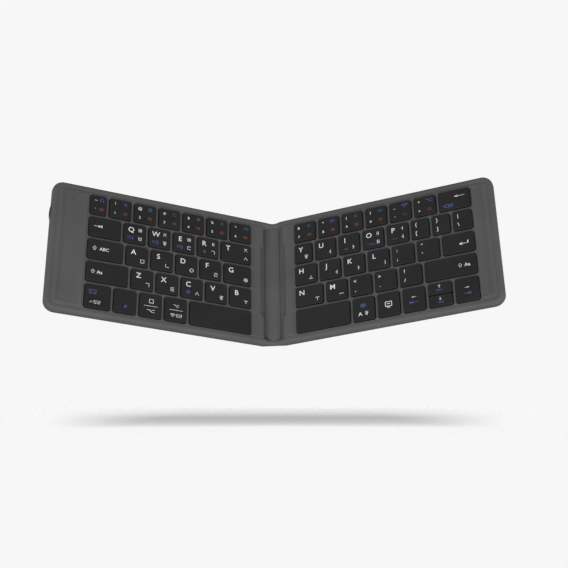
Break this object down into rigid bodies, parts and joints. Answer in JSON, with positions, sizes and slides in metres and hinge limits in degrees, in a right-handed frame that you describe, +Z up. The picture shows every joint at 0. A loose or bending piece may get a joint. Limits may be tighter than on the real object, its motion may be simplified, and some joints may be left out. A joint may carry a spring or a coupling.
{
  "type": "folding keyboard",
  "caption": "Slim pocket keyboard whose two stiff halves fold like a book on a soft flat spine; flat low keys, each travelling in its own window.",
  "frame": {"origin": "middle of the spine's underside, the flat strip the open keyboard rests on", "axes": "+X towards the right half, along the open keyboard; +Y towards the far edge, away from the typist; +Z up"},
  "size_m": [0.3004, 0.0976, 0.0731],
  "materials": {
    "soft_skin": "matte soft-touch synthetic leather, dark grey",
    "frame_plastic": "matte, dark grey",
    "keycap": "fine matte, charcoal",
    "base_plate": "rolled",
    "membrane": "printed film",
    "dome_rubber": "silicone rubber",
    "scissor_plastic": "moulded",
    "magnet": "nickel-plated",
    "stiffener": "pressed fibre",
    "flex_cable": "polyimide film",
    "battery": "pouch foil",
    "board": "solder mask",
    "socket": "plated",
    "bezel": "matte black",
    "lens": "smoked"
  },
  "bodies": {
    "spine": {"spine_back_skin": "soft_skin", "spine_stiffener": "stiffener", "spine_inner_skin": "soft_skin", "flex_cable": "flex_cable", "left_crease_skin": "soft_skin", "right_crease_skin": "soft_skin"},
    "left_half": {"left_back_skin": "soft_skin", "left_base_plate": "base_plate", "left_membrane": "membrane", "left_dome_sheet": "dome_rubber", "left_scissors": "scissor_plastic", "left_key_frame": "frame_plastic", "left_top_skin": "soft_skin", "left_magnets": "magnet", "battery_cell": "battery", "main_board": "board", "charge_socket": "socket", "port_bezel": "bezel", "indicator_lens": "lens"},
    "right_half": {"right_back_skin": "soft_skin", "right_base_plate": "base_plate", "right_membrane": "membrane", "right_dome_sheet": "dome_rubber", "right_scissors": "scissor_plastic", "right_key_frame": "frame_plastic", "right_top_skin": "soft_skin", "right_magnets": "magnet"},
    "key_a": {"key_a": "keycap"},
    "key_b": {"key_b": "keycap"},
    "key_c": {"key_c": "keycap"},
    "key_d": {"key_d": "keycap"},
    "key_e": {"key_e": "keycap"},
    "key_f": {"key_f": "keycap"},
    "key_g": {"key_g": "keycap"},
    "key_q": {"key_q": "keycap"},
    "key_r": {"key_r": "keycap"},
    "key_s": {"key_s": "keycap"},
    "key_t": {"key_t": "keycap"},
    "key_v": {"key_v": "keycap"},
    "key_w": {"key_w": "keycap"},
    "key_x": {"key_x": "keycap"},
    "key_z": {"key_z": "keycap"},
    "space_key_left": {"space_key_left": "keycap"},
    "number_keys_left": {"number_keys_left": "keycap"},
    "left_modifier_keys": {"left_modifier_keys": "keycap"},
    "key_h": {"key_h": "keycap"},
    "key_i": {"key_i": "keycap"},
    "key_j": {"key_j": "keycap"},
    "key_k": {"key_k": "keycap"},
    "key_l": {"key_l": "keycap"},
    "key_m": {"key_m": "keycap"},
    "key_n": {"key_n": "keycap"},
    "key_o": {"key_o": "keycap"},
    "key_p": {"key_p": "keycap"},
    "key_u": {"key_u": "keycap"},
    "key_y": {"key_y": "keycap"},
    "space_key_right": {"space_key_right": "keycap"},
    "number_keys_right": {"number_keys_right": "keycap"},
    "punctuation_keys": {"punctuation_keys": "keycap"},
    "right_modifier_keys": {"right_modifier_keys": "keycap"}
  },
  "joints": [
    {"name": "left_hinge", "type": "hinge", "parent": "spine", "child": "left_half", "pos_m": [-0.0082, 0, 0.0008], "axis": [0, 1, 0], "range_deg": [-26.2, 63.8], "deforming": ["left_crease_skin", "flex_cable"]},
    {"name": "right_hinge", "type": "hinge", "parent": "spine", "child": "right_half", "pos_m": [0.0082, 0, 0.0008], "axis": [0, -1, 0], "range_deg": [-18.2, 71.8], "deforming": ["right_crease_skin"]},
    {"name": "press_key_a", "type": "slide", "parent": "left_half", "child": "key_a", "axis": [-0.4415, 0, -0.8973], "range_m": [0, 0.0013], "stiffness_N_per_m": 280, "springref_m": -0.001},
    {"name": "press_key_b", "type": "slide", "parent": "left_half", "child": "key_b", "axis": [-0.4415, 0, -0.8973], "range_m": [0, 0.0013], "stiffness_N_per_m": 280, "springref_m": -0.001},
    {"name": "press_key_c", "type": "slide", "parent": "left_half", "child": "key_c", "axis": [-0.4415, 0, -0.8973], "range_m": [0, 0.0013], "stiffness_N_per_m": 280, "springref_m": -0.001},
    {"name": "press_key_d", "type": "slide", "parent": "left_half", "child": "key_d", "axis": [-0.4415, 0, -0.8973], "range_m": [0, 0.0013], "stiffness_N_per_m": 280, "springref_m": -0.001},
    {"name": "press_key_e", "type": "slide", "parent": "left_half", "child": "key_e", "axis": [-0.4415, 0, -0.8973], "range_m": [0, 0.0013], "stiffness_N_per_m": 280, "springref_m": -0.001},
    {"name": "press_key_f", "type": "slide", "parent": "left_half", "child": "key_f", "axis": [-0.4415, 0, -0.8973], "range_m": [0, 0.0013], "stiffness_N_per_m": 280, "springref_m": -0.001},
    {"name": "press_key_g", "type": "slide", "parent": "left_half", "child": "key_g", "axis": [-0.4415, 0, -0.8973], "range_m": [0, 0.0013], "stiffness_N_per_m": 280, "springref_m": -0.001},
    {"name": "press_key_q", "type": "slide", "parent": "left_half", "child": "key_q", "axis": [-0.4415, 0, -0.8973], "range_m": [0, 0.0013], "stiffness_N_per_m": 280, "springref_m": -0.001},
    {"name": "press_key_r", "type": "slide", "parent": "left_half", "child": "key_r", "axis": [-0.4415, 0, -0.8973], "range_m": [0, 0.0013], "stiffness_N_per_m": 280, "springref_m": -0.001},
    {"name": "press_key_s", "type": "slide", "parent": "left_half", "child": "key_s", "axis": [-0.4415, 0, -0.8973], "range_m": [0, 0.0013], "stiffness_N_per_m": 280, "springref_m": -0.001},
    {"name": "press_key_t", "type": "slide", "parent": "left_half", "child": "key_t", "axis": [-0.4415, 0, -0.8973], "range_m": [0, 0.0013], "stiffness_N_per_m": 280, "springref_m": -0.001},
    {"name": "press_key_v", "type": "slide", "parent": "left_half", "child": "key_v", "axis": [-0.4415, 0, -0.8973], "range_m": [0, 0.0013], "stiffness_N_per_m": 280, "springref_m": -0.001},
    {"name": "press_key_w", "type": "slide", "parent": "left_half", "child": "key_w", "axis": [-0.4415, 0, -0.8973], "range_m": [0, 0.0013], "stiffness_N_per_m": 280, "springref_m": -0.001},
    {"name": "press_key_x", "type": "slide", "parent": "left_half", "child": "key_x", "axis": [-0.4415, 0, -0.8973], "range_m": [0, 0.0013], "stiffness_N_per_m": 280, "springref_m": -0.001},
    {"name": "press_key_z", "type": "slide", "parent": "left_half", "child": "key_z", "axis": [-0.4415, 0, -0.8973], "range_m": [0, 0.0013], "stiffness_N_per_m": 280, "springref_m": -0.001},
    {"name": "press_space_key_left", "type": "slide", "parent": "left_half", "child": "space_key_left", "axis": [-0.4415, 0, -0.8973], "range_m": [0, 0.0013], "stiffness_N_per_m": 280, "springref_m": -0.001, "deforming": ["left_dome_sheet", "left_scissors"]},
    {"name": "press_number_keys_left", "type": "slide", "parent": "left_half", "child": "number_keys_left", "axis": [-0.4415, 0, -0.8973], "range_m": [0, 0.0013], "stiffness_N_per_m": 280, "springref_m": -0.001},
    {"name": "press_left_modifier_keys", "type": "slide", "parent": "left_half", "child": "left_modifier_keys", "axis": [-0.4415, 0, -0.8973], "range_m": [0, 0.0013], "stiffness_N_per_m": 280, "springref_m": -0.001},
    {"name": "press_key_h", "type": "slide", "parent": "right_half", "child": "key_h", "axis": [0.3123, 0, -0.95], "range_m": [0, 0.0013], "stiffness_N_per_m": 280, "springref_m": -0.001},
    {"name": "press_key_i", "type": "slide", "parent": "right_half", "child": "key_i", "axis": [0.3123, 0, -0.95], "range_m": [0, 0.0013], "stiffness_N_per_m": 280, "springref_m": -0.001},
    {"name": "press_key_j", "type": "slide", "parent": "right_half", "child": "key_j", "axis": [0.3123, 0, -0.95], "range_m": [0, 0.0013], "stiffness_N_per_m": 280, "springref_m": -0.001},
    {"name": "press_key_k", "type": "slide", "parent": "right_half", "child": "key_k", "axis": [0.3123, 0, -0.95], "range_m": [0, 0.0013], "stiffness_N_per_m": 280, "springref_m": -0.001},
    {"name": "press_key_l", "type": "slide", "parent": "right_half", "child": "key_l", "axis": [0.3123, 0, -0.95], "range_m": [0, 0.0013], "stiffness_N_per_m": 280, "springref_m": -0.001},
    {"name": "press_key_m", "type": "slide", "parent": "right_half", "child": "key_m", "axis": [0.3123, 0, -0.95], "range_m": [0, 0.0013], "stiffness_N_per_m": 280, "springref_m": -0.001},
    {"name": "press_key_n", "type": "slide", "parent": "right_half", "child": "key_n", "axis": [0.3123, 0, -0.95], "range_m": [0, 0.0013], "stiffness_N_per_m": 280, "springref_m": -0.001},
    {"name": "press_key_o", "type": "slide", "parent": "right_half", "child": "key_o", "axis": [0.3123, 0, -0.95], "range_m": [0, 0.0013], "stiffness_N_per_m": 280, "springref_m": -0.001},
    {"name": "press_key_p", "type": "slide", "parent": "right_half", "child": "key_p", "axis": [0.3123, 0, -0.95], "range_m": [0, 0.0013], "stiffness_N_per_m": 280, "springref_m": -0.001},
    {"name": "press_key_u", "type": "slide", "parent": "right_half", "child": "key_u", "axis": [0.3123, 0, -0.95], "range_m": [0, 0.0013], "stiffness_N_per_m": 280, "springref_m": -0.001},
    {"name": "press_key_y", "type": "slide", "parent": "right_half", "child": "key_y", "axis": [0.3123, 0, -0.95], "range_m": [0, 0.0013], "stiffness_N_per_m": 280, "springref_m": -0.001},
    {"name": "press_space_key_right", "type": "slide", "parent": "right_half", "child": "space_key_right", "axis": [0.3123, 0, -0.95], "range_m": [0, 0.0013], "stiffness_N_per_m": 280, "springref_m": -0.001, "deforming": ["right_dome_sheet", "right_scissors"]},
    {"name": "press_number_keys_right", "type": "slide", "parent": "right_half", "child": "number_keys_right", "axis": [0.3123, 0, -0.95], "range_m": [0, 0.0013], "stiffness_N_per_m": 280, "springref_m": -0.001},
    {"name": "press_punctuation_keys", "type": "slide", "parent": "right_half", "child": "punctuation_keys", "axis": [0.3123, 0, -0.95], "range_m": [0, 0.0013], "stiffness_N_per_m": 280, "springref_m": -0.001},
    {"name": "press_right_modifier_keys", "type": "slide", "parent": "right_half", "child": "right_modifier_keys", "axis": [0.3123, 0, -0.95], "range_m": [0, 0.0013], "stiffness_N_per_m": 280, "springref_m": -0.001}
  ]
}
